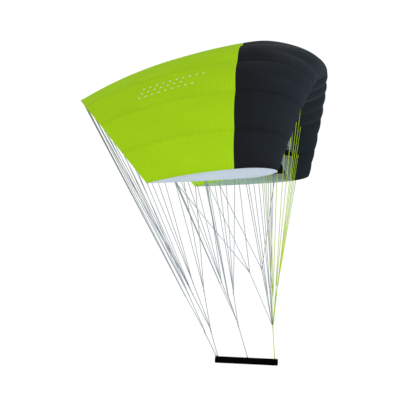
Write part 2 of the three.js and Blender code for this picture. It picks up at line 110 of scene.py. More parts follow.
def cloth_sheet(name, rows, middle_seam=False):
    """A sheet through rows of points. The map "cut" holds the flat cut in metres. The map "seam"
    holds a run along the nearest sewn edge and the distance from it, and the third map the
    distances from the long edges and from the ends, which place the painted shade along the sewn edges."""
    count, width = len(rows), len(rows[0])
    mesh = bpy.data.meshes.new(name)
    faces = [
        (r * width + c, r * width + c + 1, (r + 1) * width + c + 1, (r + 1) * width + c)
        for r in range(count - 1)
        for c in range(width - 1)
    ]
    mesh.from_pydata([p for row in rows for p in row], [], faces)
    across = [[0.0] * width for _ in rows]
    along = [[0.0] * width for _ in rows]
    for r in range(count):
        for c in range(width):
            if c:
                across[r][c] = across[r][c - 1] + (rows[r][c] - rows[r][c - 1]).length
            if r:
                along[r][c] = along[r - 1][c] + (rows[r][c] - rows[r - 1][c]).length
    for layer in ("cut", "seam", "seam_shade"):
        mesh.uv_layers.new(name=layer)
    cut, seam, seam_shade = mesh.uv_layers
    for loop in mesh.loops:
        r, c = divmod(loop.vertex_index, width)
        u, v = along[r][c], across[r][c]
        beside = min(v, across[r][-1] - v)
        before = min(u, along[-1][c] - u)
        distances = [beside, before]
        if middle_seam:
            distances.append(abs(v - across[r][width // 2]))
        cut.data[loop.index].uv = (u, v)
        seam.data[loop.index].uv = (u + v, min(distances))
        seam_shade.data[loop.index].uv = (beside, before)
    mesh.polygons.foreach_set("use_smooth", [True] * len(faces))
    shared = Counter(key for face in mesh.polygons for key in face.edge_keys)
    for edge in mesh.edges:
        edge.use_edge_sharp = shared[edge.key] == 1
    sheet = bpy.data.objects.new(name, mesh)
    bpy.context.scene.collection.objects.link(sheet)
    solid = sheet.modifiers.new("cloth", "SOLIDIFY")
    solid.thickness = CLOTH
    solid.offset = 0
    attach(sheet, "root")
    return sheet


def add_node(tree, kind, sockets, **settings):
    made = tree.nodes.new(kind)
    for setting, value in settings.items():
        setattr(made, setting, value)
    for socket, value in sockets.items():
        if isinstance(value, bpy.types.NodeSocket):
            tree.links.new(value, made.inputs[socket])
        else:
            made.inputs[socket].default_value = value
    return made


def maths(tree, operation, *values):
    return add_node(tree, "ShaderNodeMath", dict(enumerate(values)), operation=operation).outputs[0]


def blend(tree, share, below, above):
    """Colour above laid over colour below"""
    made = add_node(tree, "ShaderNodeMix", {0: share, 6: below, 7: above}, data_type="RGBA")
    return made.outputs[2]


def ramp(tree, value, limits, ends, way="SMOOTHSTEP"):
    """A number that passes from one end to the other while a value goes between two limits"""
    sockets = {0: value, 1: limits[0], 2: limits[1], 3: ends[0], 4: ends[1]}
    return add_node(tree, "ShaderNodeMapRange", sockets, interpolation_type=way).outputs[0]


def shade(colour, share):
    return (colour[0] * share, colour[1] * share, colour[2] * share, 1.0)


def new_finish(name):
    """A material with its nodes and its shader"""
    material = bpy.data.materials.new(name)
    material.use_nodes = True
    return material, material.node_tree, material.node_tree.nodes["Principled BSDF"]


RIPSTOP = 0.0055  # pitch of the thick threads
RIPSTOP_THREAD = 0.0003
HEAVY_PITCH = 3 * RIPSTOP  # every third thread is heavier
HEAVY_THREAD = 0.0006
BAND = 0.2  # width of the darker weft beside a heavy thread, in shares of their pitch
STITCH_ROWS = (0.003, 0.0085)  # distances of the stitch rows from a sewn edge
STITCH = 0.0042  # length of a stitch with its gap
STITCH_SHOWN = 0.72  # share of that length without the gap
STITCH_THREAD = 0.00045
SEAM_SHADE_WIDTH = 0.03  # width of the painted shade along a long sewn edge, where the valleys between swells lie
PULLS = (55.0, 7.0, 1.0)  # pulls to a metre along a seam and away from it
PULL_REACH = 0.07
PULL_LEFT = 0.12  # what is left of them beyond that
PULL_HEIGHT = 1.6  # heights of the relief, in millimetres
THREAD_HEIGHT = 0.03
MILLIMETRE = 0.001


def ripstop(slot, colour, thread, seam_shade_share, gloss=0.0, sheen=0.0, printed=None):
    """Coated ripstop with its grid of thick threads, stitched seams, pulls running off them, and
    painted shade along its long sewn edges
    """
    material, tree, shader = new_finish(slot)
    cut = add_node(tree, "ShaderNodeUVMap", {}, uv_map="cut").outputs[0]
    seam = add_node(tree, "ShaderNodeUVMap", {}, uv_map="seam").outputs[0]
    split = add_node(tree, "ShaderNodeSeparateXYZ", {0: seam})
    run, off = split.outputs[0], split.outputs[1]

    grid = {"Vector": cut, "Scale": 1.0, "Mortar Smooth": 0.5}
    grid.update({"Color1": shade(colour, 0.97), "Color2": shade(colour, 1.03)})
    grid.update({"Mortar": shade(thread, 1), "Mortar Size": RIPSTOP_THREAD})
    grid.update({"Brick Width": RIPSTOP, "Row Height": RIPSTOP})
    weave = add_node(tree, "ShaderNodeTexBrick", grid, offset=0.0)
    grid.update({"Brick Width": HEAVY_PITCH, "Row Height": HEAVY_PITCH, "Mortar Size": HEAVY_THREAD})
    heavy = add_node(tree, "ShaderNodeTexBrick", grid, offset=0.0)
    thick = maths(tree, "MULTIPLY", heavy.outputs["Fac"], 0.6)
    body = blend(tree, thick, weave.outputs["Color"], shade(thread, 1))
    along = add_node(tree, "ShaderNodeSeparateXYZ", {0: cut}).outputs[0]
    weft = maths(tree, "FRACT", maths(tree, "DIVIDE", along, HEAVY_PITCH))
    band = maths(tree, "LESS_THAN", weft, BAND)
    body = blend(tree, maths(tree, "MULTIPLY", band, 0.2), body, shade(colour, 0.6))

    soft = add_node(tree, "ShaderNodeTexNoise", {"Vector": cut, "Scale": 4.0, "Detail": 3.0})
    fade = maths(tree, "MULTIPLY_ADD", soft.outputs["Fac"], 0.16, 0.92)
    tone = add_node(tree, "ShaderNodeVectorMath", {0: body, 3: fade}, operation="SCALE").outputs[0]
    if printed:
        tone = printed(tree, cut, tone)

    stitch = maths(tree, "FRACT", maths(tree, "DIVIDE", run, STITCH))
    dash = maths(tree, "LESS_THAN", stitch, STITCH_SHOWN)
    rows = [maths(tree, "COMPARE", off, row, STITCH_THREAD) for row in STITCH_ROWS]
    stitches = maths(tree, "MULTIPLY", maths(tree, "MAXIMUM", *rows), dash)
    # Painted shade: the cloth is darkened towards its long sewn edges, standing in for the shade in the
    # valleys between the swells
    sides = add_node(tree, "ShaderNodeUVMap", {}, uv_map="seam_shade").outputs[0]
    beside = add_node(tree, "ShaderNodeSeparateXYZ", {0: sides}).outputs[0]
    seam_shade = ramp(tree, beside, (0.0, SEAM_SHADE_WIDTH), (1.0, 0.0))
    tone = blend(tree, maths(tree, "MULTIPLY", seam_shade, seam_shade_share), tone, shade(colour, 0.7))
    tone = blend(tree, maths(tree, "MULTIPLY", stitches, 0.5), tone, shade(thread, 1.1))
    tree.links.new(tone, shader.inputs["Base Color"])

    pull_map = add_node(tree, "ShaderNodeMapping", {0: seam, 3: PULLS}).outputs[0]
    pulls = add_node(tree, "ShaderNodeTexNoise", {"Vector": pull_map, "Scale": 1.0, "Detail": 2.0})
    reach = ramp(tree, off, (0.0, PULL_REACH), (1.0, PULL_LEFT))
    creases = maths(tree, "MULTIPLY", pulls.outputs["Fac"], reach)
    threads = maths(tree, "MULTIPLY_ADD", heavy.outputs["Fac"], 0.5, weave.outputs["Fac"])
    height = maths(tree, "MULTIPLY", creases, PULL_HEIGHT)
    height = maths(tree, "MULTIPLY_ADD", threads, THREAD_HEIGHT, height)
    height = maths(tree, "MULTIPLY_ADD", stitches, THREAD_HEIGHT, height)
    bump = add_node(tree, "ShaderNodeBump", {"Height": height, "Distance": MILLIMETRE, "Strength": 0.8})
    tree.links.new(bump.outputs[0], shader.inputs["Normal"])
    shader.inputs["Specular IOR Level"].default_value = gloss
    shader.inputs["Sheen Weight"].default_value = sheen
    shader.inputs["Sheen Roughness"].default_value = 0.3
    shader.inputs["Sheen Tint"].default_value = (1.0, 0.96, 0.91, 1.0)
    rough = maths(tree, "MULTIPLY_ADD", weave.outputs["Fac"], 0.1, 0.5)
    tree.links.new(rough, shader.inputs["Roughness"])
    return material


TEETH = [(0.275, 0.02), (0.54, 0.01), (0.757, 0.005)]  # place and drop of each tooth
TOOTH_WIDTH = 0.02
ARCH_RISE = 0.38  # height of an arch, in shares of the rib above it
ARCH_SHAPE = 0.7  # below 1, so that its ends stand steep
ARCH_STEPS = 18
TOOTH_STEPS = 2
RIB_COLUMNS = 10
RIB_END = 0.94  # where a rib ends along the chord
RIB_END_DEPTH = 0.008
RIB_CLEAR = 0.0007  # distance from a rib's upper edge to the skin's outer face

# The 0.2 is the share of painted shade along its sewn edges
grey_cloth = ripstop("grey_cloth", (0.36, 0.42, 0.43), (0.41, 0.47, 0.48), 0.2, gloss=0.1)


def plate(name, rib, lower):
    """A flat rib between its lower edge, a list of (along, height), and the skin"""
    rows = []
    for along, low in lower:
        high = max(rib.upper(along / rib.chord) - RIB_CLEAR, low + RIB_CLEAR)
        heights = [low + (high - low) * c / RIB_COLUMNS for c in range(RIB_COLUMNS + 1)]
        rows.append([rib.at(along, height) for height in heights])
    return cloth_sheet(name, rows)


def nose_edge(rib, steps=10):
    """Lower edge of a rib within the lip, from just behind the nose"""
    places = [LIP_END * (1 - math.cos(math.pi / 2 * i / steps)) for i in range(1, steps + 1)]
    return [(t * rib.chord, rib.lip(t) + RIB_CLEAR) for t in places]


def scalloped_edge(rib):
    edge = nose_edge(rib)
    corners = [edge[-1]]
    for at, drop in TEETH:
        for end in (-0.5, 0.5):
            corners.append((at * rib.chord + end * TOOTH_WIDTH, -drop * rib.chord))
    corners.append((RIB_END * rib.chord, rib.upper(RIB_END) - RIB_CLEAR - RIB_END_DEPTH))
    for i in range(len(corners) - 1):
        (start, low), (stop, far_low) = corners[i], corners[i + 1]
        arched = i % 2 == 0
        steps = ARCH_STEPS if arched else TOOTH_STEPS
        for step in range(1, steps + 1):
            share = step / steps
            along = start + (stop - start) * share
            height = low + (far_low - low) * share
            if arched:
                room = rib.upper(along / rib.chord) - height
                height += ARCH_RISE * room * max(math.sin(math.pi * share), 0) ** ARCH_SHAPE
            edge.append((along, height))
    return edge


for side, half in HALVES.items():
    for rib in half[:-1]:
        node = f"rib_{SIDE_NAMES[side]}_{rib.number}"
        cloth = plate(f"rib_cloth_{SIDE_NAMES[side]}_{rib.number}", rib, scalloped_edge(rib))
        cloth.data.materials.append(grey_cloth)
        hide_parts(node)

# End ribs: closed plates of pale ripstop at the tips, cut with a belly along the lower edge. The
# outermost panels are sewn to them over the top and round the nose, and three lines hang from
# the belly.

BELLY_DEPTH = 0.051
BELLY_AT = 0.19  # deepest place along the chord
BELLY_RUN = 1.6  # how evenly it rises from there
END_RIB_END = 0.985
END_RIB_STEPS = 40

# The 0.2 is the share of painted shade along its sewn edges
pale_cloth = ripstop("pale_cloth", (0.64, 0.73, 0.82), (0.68, 0.77, 0.85), 0.2, gloss=0.05)


def belly(rib, t):
    return -rib.chord * BELLY_DEPTH * (1 - abs((t - BELLY_AT) / (1 - BELLY_AT)) ** BELLY_RUN)


for side, half in HALVES.items():
    tip = half[-1]
    reach = END_RIB_END - LIP_END
    places = [LIP_END + reach * i / END_RIB_STEPS for i in range(END_RIB_STEPS + 1)]
    lower = nose_edge(tip)[:-1] + [(t * tip.chord, belly(tip, t)) for t in places]
    cloth = plate(f"end_rib_cloth_{SIDE_NAMES[side]}", tip, lower)
    cloth.data.materials.append(pale_cloth)
    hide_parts(f"end_rib_{SIDE_NAMES[side]}")

# Nose panels: one of dark coated ripstop for each cell, from the colour seam over the nose to a
# short hemmed lip underneath. Each is two cuts joined by a seam along the cell's middle, which
# draws the nose in between two swells.

NOSE_SWELL = 0.02  # swells on either side of the middle seam, in shares of the cell's width
BACK_SWELL = 0.07  # the one swell behind them
BACK_ROUNDING = 0.9  # how softly it comes down to the ribs
TAIL_SWELL = 0.01  # what is left of it at the trailing edge
SEAM_FADE = (0.03, 0.28)  # where the two swells run into the one, in shares of the chord
TAIL_FADE = (0.2, 0.8)  # where that dies down
PUCKER = 0.0012  # depth of the gathers along a rib's seam
PUCKER_PITCH = 0.047
PUCKER_LONG, PUCKER_SHORT = 5, 8.3  # radians of the long and the short gathers to that pitch
PUCKER_SHARE = 0.6  # depth of the short ones, in shares of the long ones'
PUCKER_REACH = 0.02
CELL_COLUMNS = 32
LIP_STEPS = 12
NOSE_STEPS = 40
SEAM_BOW = 0.005  # the colour seam bows this far back between ribs, in shares of the cloth behind it

# The 0.6 is the share of painted shade along its sewn edges
dark_cloth = ripstop("dark_cloth", (0.0122, 0.0141, 0.0162), (0.0148, 0.017, 0.0194), 0.6, sheen=0.045)


def smooth(t, limits):
    share = min(max((t - limits[0]) / (limits[1] - limits[0]), 0), 1)
    return share * share * (3 - 2 * share)


def swell(t, v):
    """Height of the swelling cloth at a share t of the chord and v of the cell"""
    tail = smooth(t, TAIL_FADE)
    crest = BACK_SWELL * (1 - tail) + TAIL_SWELL * tail
    single = crest * max(math.sin(math.pi * v), 0) ** BACK_ROUNDING
    double = NOSE_SWELL * abs(math.sin(2 * math.pi * v))
    back = smooth(t, SEAM_FADE)
    return double * (1 - back) + single * back


def skin(inner, outer, q, v, sunk=0.0):
    """A point of the skin, at a place q round the section and a share v of the cell"""
    q += SEAM_BOW * math.sin(math.pi * v) * max(1 - abs(q - 1), 0)
    start, stop = inner.edge(q), outer.edge(q)
    width = (stop - start).length
    outward = inner.outward(q).lerp(outer.outward(q), v).normalized()
    t = 0 if q < 0 else inner.place(q) * (1 - v) + outer.place(q) * v
    beside = min(v, 1 - v) * width / PUCKER_REACH
    run = q * inner.chord / PUCKER_PITCH
    waves = math.sin(PUCKER_LONG * run) + PUCKER_SHARE * math.sin(PUCKER_SHORT * run + inner.y)
    gather = PUCKER * waves * beside * math.exp(1 - beside)
    return start.lerp(stop, v) + outward * (swell(t, v) * width + gather - sunk)


def panel(name, inner, outer, places, middle_seam=False):
    """The cloth of one cell at the given places round the section"""
    columns = [c / CELL_COLUMNS for c in range(CELL_COLUMNS + 1)]
    rows = [[skin(inner, outer, q, v) for v in columns] for q in places]
    cloth = cloth_sheet(name, rows, middle_seam)
    middle = cloth.data.polygons[len(cloth.data.polygons) // 2]
    if middle.normal.dot(inner.outward(places[len(places) // 2])) < 0:
        cloth.data.flip_normals()
    return cloth


CELLS = {"middle": (HALVES[-1][0], HALVES[1][0])}
for side, half in HALVES.items():
    for number in range(1, len(RIBS)):
        CELLS[f"{SIDE_NAMES[side]}_{number}"] = (half[number - 1], half[number])

for cell, (inner, outer) in CELLS.items():
    places = [-1 + i / LIP_STEPS for i in range(LIP_STEPS)]
    places += [i / NOSE_STEPS for i in range(NOSE_STEPS + 1)]
    cloth = panel(f"nose_cloth_{cell}", inner, outer, places, middle_seam=True)
    cloth.data.materials.append(dark_cloth)
    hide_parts(f"nose_panel_{cell}")

# Rear panels: one of lime coated ripstop for each cell, felled to the nose panel at the colour
# seam and to its neighbours along the ribs, and hemmed at the trailing edge. The second panel of
# each half carries three printed rows of small white dots.

DOT_ROWS = [(0.134, 0.205, 10), (0.189, 0.3465, 7), (0.247, 0.273, 9)]  # across, first along, number
DOT_PITCH = 0.0433
DOT_RADIUS = 0.0065
DOT_WHITE = (0.85, 0.9, 0.8)
DOT_COVER = 0.85  # how well the print covers the lime
REAR_STEPS = 72
LIME = (0.362, 0.625, 0.011)
LIME_THREAD = (0.398, 0.68, 0.013)
# Share of painted shade along the lime panels' sewn edges
LIME_SEAM_SHADE = 0.25
LIME_SHEEN = 0.035


def printed_dots(tree, cut, cloth):
    split = add_node(tree, "ShaderNodeSeparateXYZ", {0: cut})
    for across, first, number in DOT_ROWS:
        along = maths(tree, "DIVIDE", maths(tree, "SUBTRACT", split.outputs[0], first), DOT_PITCH)
        within = maths(tree, "MAXIMUM", maths(tree, "ROUND", along), 0.0)
        nearest = maths(tree, "MINIMUM", within, number - 1.0)
        beside = maths(tree, "MULTIPLY", maths(tree, "SUBTRACT", along, nearest), DOT_PITCH)
        aside = maths(tree, "SUBTRACT", split.outputs[1], across)
        square = maths(tree, "MULTIPLY_ADD", beside, beside, maths(tree, "MULTIPLY", aside, aside))
        dot = maths(tree, "LESS_THAN", square, DOT_RADIUS * DOT_RADIUS)
        cloth = blend(tree, maths(tree, "MULTIPLY", dot, DOT_COVER), cloth, shade(DOT_WHITE, 1))
    return cloth


lime = (LIME, LIME_THREAD, LIME_SEAM_SHADE)
lime_cloth = ripstop("lime_cloth", *lime, sheen=LIME_SHEEN)
dotted_cloth = ripstop("lime_cloth_dotted", *lime, sheen=LIME_SHEEN, printed=printed_dots)

for cell, (inner, outer) in CELLS.items():
    places = [1 + i / REAR_STEPS for i in range(REAR_STEPS + 1)]
    cloth = panel(f"rear_cloth_{cell}", inner, outer, places)
    cloth.data.materials.append(dotted_cloth if cell.endswith("_2") else lime_cloth)
    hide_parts(f"rear_panel_{cell}")

# Braces: triangles of the ribs' grey ripstop, each sewn along its wide edge under the middle seam
# of a cell, and at its narrow foot to the lower edge of the rib outside it, just behind the lip.

BRACE_FROM, BRACE_TO = 0.148, 0.27  # ends of the wide edge along the chord
BRACE_ACROSS = 0.496  # its place across the cell
BRACE_STEPS = 16
BRACE_COLUMNS = 12
BRACE_FOOT = 0.016  # width of the foot
BRACE_FOOT_AT = 0.163  # its place along the chord
BRACE_HEIGHT = 0.012  # height of the foot above an inner rib's chord, in shares of it
BRACE_RAISE = 0.008  # height of the foot above an end rib's lower edge
BRACE_SUNK = 0.0019  # below the skin's outer face
BRACE_BESIDE = 0.0013  # beside the rib's middle

for side, half in HALVES.items():
    for rib in half:
        inside = half[rib.number - 2] if rib.number > 1 else HALVES[-side][0]
        across = rib.back.cross(rib.up).normalized()
        across *= -side * math.copysign(BRACE_BESIDE, across.y)
        low = belly(rib, BRACE_FOOT_AT) + BRACE_RAISE
        height = low if rib.number == len(RIBS) else BRACE_HEIGHT * rib.chord
        rows = []
        for i in range(BRACE_STEPS + 1):
            t = BRACE_FROM + (BRACE_TO - BRACE_FROM) * i / BRACE_STEPS
            q = math.acos(1 - t / rib.seam) / (math.pi / 2)
            sewn = skin(rib, inside, q, BRACE_ACROSS, BRACE_SUNK)
            along = BRACE_FOOT_AT * rib.chord + BRACE_FOOT * (i / BRACE_STEPS - 0.5)
            foot = rib.at(along, height) + across
            rows.append([sewn.lerp(foot, c / BRACE_COLUMNS) for c in range(BRACE_COLUMNS + 1)])
        cloth = cloth_sheet(f"brace_cloth_{SIDE_NAMES[side]}_{rib.number}", rows)
        cloth.data.materials.append(grey_cloth)
        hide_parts(f"brace_{SIDE_NAMES[side]}_{rib.number}")

# Lines: braided cord, lime from the lip and grey from all other ties, with a spliced eye at each
# tie. Groups of them are whipped together at upper knots, and the lower lines that go on from
# there are whipped together at the gathers of their half.

LINE = 0.004
BRAID_STRANDS = 4.0  # strands each way round
BRAID_PITCH = 0.0035
EYE = 0.011  # length of a spliced eye
EYE_HALF = 0.0022  # half its width
EYE_OVER = 0.003  # reach of the eye over the edge that holds it
EYE_STEPS = 14
EYE_RADIUS = LINE * 0.38
SPLICE_RADIUS = LINE * 0.62
WHIPPING_THREAD = LINE * 0.25
WHIPPING_PITCH = LINE * 0.6
WHIPPING_STEPS = 12
KNOT_APART = 0.005  # least distance of a knot from the middle of the wing
# Knots of the left half: the upper ones, and the gathers, which lie near the middle
GATHERS = {
    "front": (0.174, 0, 0.236),
    "first_inner": (0.198, 0.06, 0.492),
    "first_outer": (0.183, 0.13, 0.424),
    "second_inner": (0.155, 0.06, 0.474),
    "second_outer": (0.148, 0.13, 0.437),
    "tip": (0.061, 0.45, 0.585),
    "middle": (-0.056, 0, 0.246),
    "third": (-0.101, 0.183, 0.43),
    "fourth": (-0.168, 0.067, 0.508),
    "tail_inner": (-0.274, 0, 0.195),
    "tail_middle": (-0.387, 0.1, 0.423),
    "tail_outer": (-0.234, 0, 0.209),
    "tail_half": (-0.366, 0.16, 0.501),
    "tail_tip": (-0.312, 0.34, 0.44),
}
SECOND_BEHIND = 0.006  # the second lines' gather lies this far behind the front lines'
FRONT_TIE = 0.11  # on the lip
END_RIB_TIES = [0.3, 0.545, 0.78]
TAIL_TIE = 0.995
TAIL_BESIDE = 0.01  # beside a rib, in shares of the cell
TAIL_SUNK = 0.001  # below the skin's outer face
# Numbers of lines on the upper knots, counted outwards. The outermost knot takes the rest.
FRONT_INNER = 2
SECOND_INNER = 2
TAIL_MIDDLE = 4
TAIL_HALF = 3


def braid(name, colour, crest_tone):
    """Round braid: strands crossing round the cord, with painted shade: darker in the grooves between
    the strands and lighter on their crests
    """
    material, tree, shader = new_finish(name)
    lay = add_node(tree, "ShaderNodeUVMap", {}, uv_map="lay").outputs[0]
    split = add_node(tree, "ShaderNodeSeparateXYZ", {0: lay})
    turn = maths(tree, "MULTIPLY", split.outputs[0], BRAID_STRANDS)
    pitch = maths(tree, "DIVIDE", split.outputs[1], BRAID_PITCH)
    strands = []
    for operation in ("ADD", "SUBTRACT"):
        wave = maths(tree, "MULTIPLY", maths(tree, operation, turn, pitch), 2 * math.pi)
        strands.append(maths(tree, "SINE", wave))
    over = maths(tree, "MAXIMUM", *strands)
    # Painted shade: the tone follows the strands' height, dark in the grooves and light on the crests
    share = maths(tree, "MULTIPLY_ADD", over, 0.35, 0.5)
    tone = blend(tree, share, shade(colour, 0.75), shade(crest_tone, 1))
    tree.links.new(tone, shader.inputs["Base Color"])
    bump = add_node(tree, "ShaderNodeBump", {"Height": over, "Distance": 0.0002, "Strength": 0.7})
    tree.links.new(bump.outputs[0], shader.inputs["Normal"])
    shader.inputs["Roughness"].default_value = 0.6
    shader.inputs["Specular IOR Level"].default_value = 0.03
    return material


BRAIDS = {
    "grey_line": braid("grey_braid", (0.27, 0.289, 0.297), (0.32, 0.341, 0.35)),
    "lime_line": braid("lime_braid", (0.38, 0.5, 0.002), (0.43, 0.56, 0.004)),
}


class Cordage:
    """Cords of one node, swept into one mesh"""

    def __init__(self):
        self.points, self.faces, self.lay = [], [], []

    def sweep(self, path, radius=LINE / 2, sides=8):
        first, run = len(self.points), 0.0
        heading = (path[1] - path[0]).normalized()
        side = heading.orthogonal().normalized()
        for i, point in enumerate(path):
            ahead = path[min(i + 1, len(path) - 1)] - path[max(i - 1, 0)]
            heading = ahead.normalized()
            side = (side - heading * side.dot(heading)).normalized()
            over = heading.cross(side)
            run += (point - path[max(i - 1, 0)]).length
            for s in range(sides):
                angle = 2 * math.pi * s / sides
                out = side * math.cos(angle) + over * math.sin(angle)
                self.points.append(point + out * radius)
            if i:
                ring = first + i * sides
                step = (path[i] - path[i - 1]).length
                for s in range(sides):
                    after = (s + 1) % sides
                    self.faces.append((ring - sides + s, ring - sides + after, ring + after, ring + s))
                    left, right = s / sides, (s + 1) / sides
                    behind = run - step
                    self.lay.append([(left, behind), (right, behind), (right, run), (left, run)])
        last = len(self.points) - sides
        for cap in (list(range(first, first + sides))[::-1], list(range(last, last + sides))):
            self.faces.append(tuple(cap))
            self.lay.append([(0.5, 0.0)] * sides)

    def eye(self, top, down):
        """A spliced eye that hangs from a point, and the thicker splice below it"""
        across = down.orthogonal().normalized()
        bow = [(-math.pi / 2 + 2 * math.pi * i / EYE_STEPS) for i in range(EYE_STEPS + 1)]
        middle = top + down * (EYE / 2 - EYE_OVER)
        ring = [middle + down * math.sin(a) * EYE / 2 + across * math.cos(a) * EYE_HALF for a in bow]
        self.sweep(ring, EYE_RADIUS)
        self.sweep([top + down * (EYE - EYE_OVER), top + down * EYE * 3], SPLICE_RADIUS)

    def whipping(self, centre, axis, radius=LINE * 0.7, turns=3):
        """Turns of thread round a knot"""
        side = axis.orthogonal().normalized()
        over = axis.cross(side)
        coil = []
        for i in range(turns * WHIPPING_STEPS + 1):
            angle = 2 * math.pi * i / WHIPPING_STEPS
            rise = (i / WHIPPING_STEPS - turns / 2) * WHIPPING_PITCH
            out = side * math.cos(angle) + over * math.sin(angle)
            coil.append(centre + out * radius + axis * rise)
        self.sweep(coil, WHIPPING_THREAD, 6)

    def fan(self, ties, knot, joining=()):
        """Lines from their ties, and from higher knots, whipped together at one knot"""
        tops = [*ties, *joining]
        axis = Vector((0, 0, 0))
        for i, top in enumerate(tops):
            around = 2 * math.pi * i / len(tops)
            foot = knot + Vector((math.cos(around), math.sin(around), 0)) * LINE / 4
            down = (foot - top).normalized()
            axis += down
            self.sweep([top, top.lerp(foot, 0.5), foot])
            if i < len(ties):
                self.eye(top, down)
        self.whipping(knot, axis.normalized())

    def make(self, name, node, slot):
        mesh = bpy.data.meshes.new(name)
        mesh.from_pydata(self.points, [], self.faces)
        lay = mesh.uv_layers.new(name="lay")
        for face, places in zip(mesh.polygons, self.lay):
            for loop, place in zip(face.loop_indices, places):
                lay.data[loop].uv = place
        mesh.polygons.foreach_set("use_smooth", [True] * len(self.faces))
        cords = bpy.data.objects.new(name, mesh)
        bpy.context.scene.collection.objects.link(cords)
        mesh.materials.append(BRAIDS[slot])
        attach(cords, "root")
        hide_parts(node)


def gather(name, side, behind=0.0):
    x, y, z = GATHERS[name]
    return Vector((x - behind, side * max(y, KNOT_APART), z))


def tooth_tie(rib, row):
    at, drop = TEETH[row]
    if rib.number == len(RIBS):
        at = END_RIB_TIES[row]
        return rib.at(at * rib.chord, belly(rib, at))
    return rib.at(at * rib.chord, -drop * rib.chord)


def tail_tie(rib, beside, v):
    return skin(rib, beside, 1 + (TAIL_TIE - rib.seam) / (1 - rib.seam), v, TAIL_SUNK)


for side, half in HALVES.items():
    inner, tip = half[:-1], half[-1]
    label = SIDE_NAMES[side]

    front = Cordage()
    first = [rib.at(FRONT_TIE * rib.chord, rib.lip(FRONT_TIE)) for rib in half]
    first_knots = [gather("first_inner", side), gather("first_outer", side)]
    front.fan([], gather("front", side), first_knots)
    front.fan(first[:FRONT_INNER], first_knots[0])
    front.fan(first[FRONT_INNER:], first_knots[1])
    front.make(f"front_cords_{label}", f"front_lines_{label}", "lime_line")

    second = Cordage()
    second_knots = [gather(name, side) for name in ("second_inner", "second_outer", "tip")]
    second.fan([], gather("front", side, SECOND_BEHIND), second_knots)
    second.fan([tooth_tie(rib, 0) for rib in inner[:SECOND_INNER]], second_knots[0])
    second.fan([tooth_tie(rib, 0) for rib in inner[SECOND_INNER:]], second_knots[1])
    second.fan([tooth_tie(tip, row) for row in range(len(TEETH))], second_knots[2])
    second.make(f"second_cords_{label}", f"second_lines_{label}", "grey_line")

    middle = Cordage()
    row_knots = {"fourth": gather("fourth", side), "third": gather("third", side)}
    middle.fan([], gather("middle", side), row_knots.values())
    middle.fan([tooth_tie(rib, 2) for rib in inner], row_knots["fourth"])
    middle.fan([tooth_tie(rib, 1) for rib in inner], row_knots["third"])
    middle.make(f"middle_cords_{label}", f"middle_lines_{label}", "grey_line")

    tail = [tail_tie(half[0], HALVES[-side][0], 0.5 - TAIL_BESIDE)]
    for rib in inner:
        tail += [tail_tie(rib, half[rib.number], v) for v in (TAIL_BESIDE, 0.5)]
    tail.append(tail_tie(inner[-1], tip, 1 - TAIL_BESIDE))
    tail_inner = Cordage()
    tail_inner.fan([], gather("tail_inner", side), [gather("tail_middle", side)])
    tail_inner.fan(tail[:TAIL_MIDDLE], gather("tail_middle", side))
    tail_inner.make(f"tail_cords_inner_{label}", f"tail_lines_inner_{label}", "grey_line")
    tail_outer = Cordage()
    tail_knots = [gather("tail_half", side), gather("tail_tip", side)]
    tail_outer.fan([], gather("tail_outer", side), tail_knots)
    outer_tail = tail[TAIL_MIDDLE:]
    tail_outer.fan(outer_tail[:TAIL_HALF], tail_knots[0])
    tail_outer.fan(outer_tail[TAIL_HALF:], tail_knots[1])
    tail_outer.make(f"tail_cords_outer_{label}", f"tail_lines_outer_{label}", "grey_line")

# Bar: a short tube under a sleeve of black foam with closed, slightly rounded ends. It hangs with
# its front end a little lower.

BAR_LENGTH = 0.408
BAR_RADIUS = 0.022
BAR_EDGE = 0.004  # rounding of the ends
BAR_EDGE_STEPS = 6
BAR_STEPS = 24
BAR_SIDES = 64
BAR_TILT = math.radians(2.4)
FOAM_CELLS = 900.0  # cells to a metre
FOAM_MOTTLE = 60.0
FOAM_DEPTH = 0.0004
FOAM_BLACK = (0.001, 0.0014, 0.0014)
FOAM_GREY = (0.0018, 0.0025, 0.0025)

foam, foam_tree, foam_shader = new_finish("grip")
foam_place = add_node(foam_tree, "ShaderNodeTexCoord", {}).outputs["Object"]
cells = add_node(foam_tree, "ShaderNodeTexVoronoi", {"Vector": foam_place, "Scale": FOAM_CELLS})
mottling = {"Vector": foam_place, "Scale": FOAM_MOTTLE, "Detail": 4.0}
mottle = add_node(foam_tree, "ShaderNodeTexNoise", mottling).outputs["Fac"]
foam_tone = blend(foam_tree, mottle, shade(FOAM_BLACK, 1), shade(FOAM_GREY, 1))
foam_tree.links.new(foam_tone, foam_shader.inputs["Base Color"])
pitting = {"Height": cells.outputs["Distance"], "Distance": FOAM_DEPTH, "Strength": 0.5}
foam_bump = add_node(foam_tree, "ShaderNodeBump", pitting)
foam_tree.links.new(foam_bump.outputs[0], foam_shader.inputs["Normal"])
foam_shader.inputs["Roughness"].default_value = 0.7
foam_shader.inputs["Specular IOR Level"].default_value = 0.004

